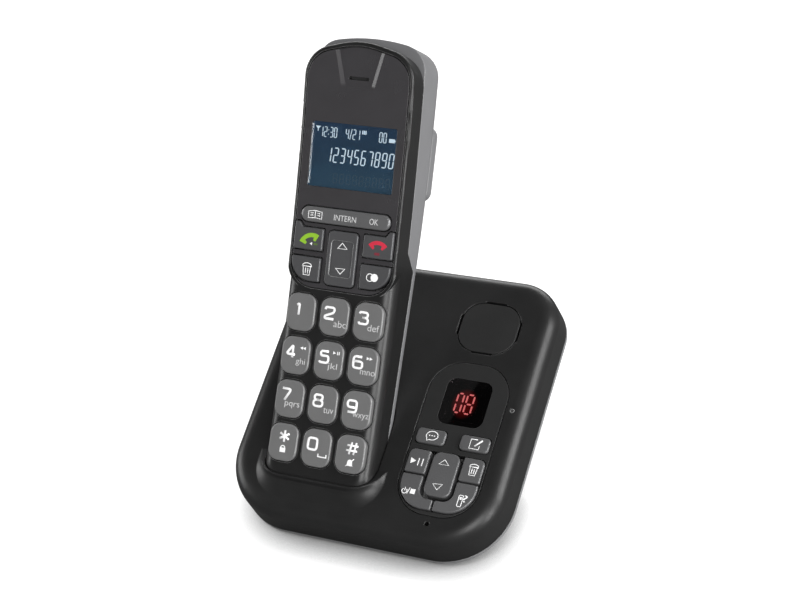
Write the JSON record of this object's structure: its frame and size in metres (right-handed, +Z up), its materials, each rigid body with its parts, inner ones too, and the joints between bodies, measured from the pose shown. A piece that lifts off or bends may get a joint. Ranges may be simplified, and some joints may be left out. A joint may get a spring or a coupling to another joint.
{
  "type": "cordless telephone with answering machine",
  "caption": "Cordless telephone handset standing in a slanted charging base that holds the answering machine's keys, counter window and loudspeaker.",
  "frame": {"origin": "on the table under the set, in the middle of its width and depth", "axes": "+X to the right seen from the front, +Y to the back, +Z up"},
  "size_m": [0.1124, 0.1311, 0.1573],
  "materials": {
    "base_black": "satin, fine moulded grain",
    "panel_black": "satin",
    "lower_grey": "satin",
    "handset_black": "satin, fine moulded grain",
    "handset_silver": "fine metallic satin",
    "fascia_gloss": "polished",
    "window_gloss": "polished, smoked",
    "display_glass": "clear",
    "display_blue": "backlit",
    "display_red": "lit",
    "key_grey": "satin",
    "function_key": "satin",
    "bar_silver": "satin metallic",
    "base_key": "satin metallic",
    "light_pipe": "clear",
    "circuit_green": "varnished",
    "rubber_grey": "matt",
    "rubber_black": "matt",
    "speaker_dark": "coated",
    "screw_steel": "zinc plated",
    "contact_metal": "nickel plated",
    "cell_wrap": "printed sleeve",
    "socket_black": "moulded"
  },
  "bodies": {
    "base": {"base_top_shell": "base_black", "base_bottom_shell": "lower_grey", "control_panel": "panel_black", "speaker_badge": "panel_black", "loudspeaker": "speaker_dark", "led_window": "window_gloss", "led_display": "display_red", "status_light": "light_pipe", "base_microphone": "speaker_dark", "base_circuit_board": "circuit_green", "base_key_mat": "rubber_grey", "charging_contacts": "contact_metal", "power_jack": "socket_black", "line_jack": "socket_black", "rubber_feet": "rubber_black", "base_screws": "screw_steel"},
    "handset": {"front_housing": "handset_black", "rear_housing": "handset_silver", "fascia_panel": "fascia_gloss", "display_window": "display_glass", "lcd_module": "display_blue", "earpiece_receiver": "speaker_dark", "handset_circuit_board": "circuit_green", "keypad_mat": "rubber_grey", "rear_speaker_cover": "handset_silver", "rear_speaker": "speaker_dark", "batteries": "cell_wrap", "battery_contacts": "contact_metal", "handset_contacts": "contact_metal", "handset_microphone": "speaker_dark", "handset_screws": "screw_steel"},
    "key_1": {"key_1": "key_grey"},
    "key_2": {"key_2": "key_grey"},
    "key_3": {"key_3": "key_grey"},
    "key_4": {"key_4": "key_grey"},
    "key_5": {"key_5": "key_grey"},
    "key_6": {"key_6": "key_grey"},
    "key_7": {"key_7": "key_grey"},
    "key_8": {"key_8": "key_grey"},
    "key_9": {"key_9": "key_grey"},
    "key_star": {"key_star": "key_grey"},
    "key_0": {"key_0": "key_grey"},
    "key_hash": {"key_hash": "key_grey"},
    "call_key": {"call_key": "function_key"},
    "end_key": {"end_key": "function_key"},
    "erase_key": {"erase_key": "function_key"},
    "redial_key": {"redial_key": "function_key"},
    "navigation_rocker": {"navigation_rocker": "function_key"},
    "softkey_bar": {"softkey_bar": "bar_silver"},
    "battery_cover": {"battery_cover": "handset_silver"},
    "announcement_key": {"announcement_key": "base_key"},
    "memo_key": {"memo_key": "base_key"},
    "play_key": {"play_key": "base_key"},
    "stop_key": {"stop_key": "base_key"},
    "delete_key": {"delete_key": "base_key"},
    "find_key": {"find_key": "base_key"},
    "volume_rocker": {"volume_rocker": "base_key"}
  },
  "joints": [
    {"name": "handset_lift", "type": "slide", "parent": "base", "child": "handset", "axis": [0, 0.6794, 0.7337], "range_m": [0, 0.06]},
    {"name": "key_1_press", "type": "slide", "parent": "handset", "child": "key_1", "axis": [0, 0.7762, -0.6304], "range_m": [0, 0.0007], "stiffness_N_per_m": 1500},
    {"name": "key_2_press", "type": "slide", "parent": "handset", "child": "key_2", "axis": [0, 0.7762, -0.6304], "range_m": [0, 0.0007], "stiffness_N_per_m": 1500},
    {"name": "key_3_press", "type": "slide", "parent": "handset", "child": "key_3", "axis": [0, 0.7762, -0.6304], "range_m": [0, 0.0007], "stiffness_N_per_m": 1500},
    {"name": "key_4_press", "type": "slide", "parent": "handset", "child": "key_4", "axis": [0, 0.7624, -0.6471], "range_m": [0, 0.0007], "stiffness_N_per_m": 1500},
    {"name": "key_5_press", "type": "slide", "parent": "handset", "child": "key_5", "axis": [0, 0.7624, -0.6471], "range_m": [0, 0.0007], "stiffness_N_per_m": 1500},
    {"name": "key_6_press", "type": "slide", "parent": "handset", "child": "key_6", "axis": [0, 0.7624, -0.6471], "range_m": [0, 0.0007], "stiffness_N_per_m": 1500},
    {"name": "key_7_press", "type": "slide", "parent": "handset", "child": "key_7", "axis": [0, 0.7482, -0.6634], "range_m": [0, 0.0007], "stiffness_N_per_m": 1500},
    {"name": "key_8_press", "type": "slide", "parent": "handset", "child": "key_8", "axis": [0, 0.7482, -0.6634], "range_m": [0, 0.0007], "stiffness_N_per_m": 1500},
    {"name": "key_9_press", "type": "slide", "parent": "handset", "child": "key_9", "axis": [0, 0.7482, -0.6634], "range_m": [0, 0.0007], "stiffness_N_per_m": 1500},
    {"name": "key_star_press", "type": "slide", "parent": "handset", "child": "key_star", "axis": [0, 0.7337, -0.6794], "range_m": [0, 0.0007], "stiffness_N_per_m": 1500},
    {"name": "key_0_press", "type": "slide", "parent": "handset", "child": "key_0", "axis": [0, 0.7337, -0.6794], "range_m": [0, 0.0007], "stiffness_N_per_m": 1500},
    {"name": "key_hash_press", "type": "slide", "parent": "handset", "child": "key_hash", "axis": [0, 0.7337, -0.6794], "range_m": [0, 0.0007], "stiffness_N_per_m": 1500},
    {"name": "call_key_press", "type": "slide", "parent": "handset", "child": "call_key", "axis": [0, 0.7939, -0.6081], "range_m": [0, 0.0007], "stiffness_N_per_m": 1500},
    {"name": "end_key_press", "type": "slide", "parent": "handset", "child": "end_key", "axis": [0, 0.7939, -0.6081], "range_m": [0, 0.0007], "stiffness_N_per_m": 1500},
    {"name": "erase_key_press", "type": "slide", "parent": "handset", "child": "erase_key", "axis": [0, 0.7939, -0.6081], "range_m": [0, 0.0007], "stiffness_N_per_m": 1500},
    {"name": "redial_key_press", "type": "slide", "parent": "handset", "child": "redial_key", "axis": [0, 0.7939, -0.6081], "range_m": [0, 0.0007], "stiffness_N_per_m": 1500},
    {"name": "navigation_rock", "type": "hinge", "parent": "handset", "child": "navigation_rocker", "pos_m": [-0.0169, 0.00084, 0.08947], "axis": [1, 0, 0], "range_deg": [-3, 3], "stiffness_Nm_per_rad": 0.15},
    {"name": "softkey_rock", "type": "hinge", "parent": "handset", "child": "softkey_bar", "pos_m": [-0.0169, 0.01011, 0.10184], "axis": [0, 0.592, 0.8059], "range_deg": [-1.8, 1.8], "stiffness_Nm_per_rad": 0.5},
    {"name": "battery_cover_open", "type": "hinge", "parent": "handset", "child": "battery_cover", "pos_m": [-0.0169, -0.01098, 0.04443], "axis": [-1, 0, 0], "range_deg": [0, 20]},
    {"name": "announcement_key_press", "type": "slide", "parent": "base", "child": "announcement_key", "axis": [0, 0.3746, -0.9272], "range_m": [0, 0.0007], "stiffness_N_per_m": 1500},
    {"name": "memo_key_press", "type": "slide", "parent": "base", "child": "memo_key", "axis": [0, 0.3746, -0.9272], "range_m": [0, 0.0007], "stiffness_N_per_m": 1500},
    {"name": "play_key_press", "type": "slide", "parent": "base", "child": "play_key", "axis": [0, 0.3746, -0.9272], "range_m": [0, 0.0007], "stiffness_N_per_m": 1500},
    {"name": "stop_key_press", "type": "slide", "parent": "base", "child": "stop_key", "axis": [0, 0.3746, -0.9272], "range_m": [0, 0.0007], "stiffness_N_per_m": 1500},
    {"name": "delete_key_press", "type": "slide", "parent": "base", "child": "delete_key", "axis": [0, 0.3746, -0.9272], "range_m": [0, 0.0007], "stiffness_N_per_m": 1500},
    {"name": "find_key_press", "type": "slide", "parent": "base", "child": "find_key", "axis": [0, 0.3746, -0.9272], "range_m": [0, 0.0007], "stiffness_N_per_m": 1500},
    {"name": "volume_rock", "type": "hinge", "parent": "base", "child": "volume_rocker", "pos_m": [0.0308, -0.04141, 0.02631], "axis": [1, 0, 0], "range_deg": [-3, 3], "stiffness_Nm_per_rad": 0.15}
  ]
}
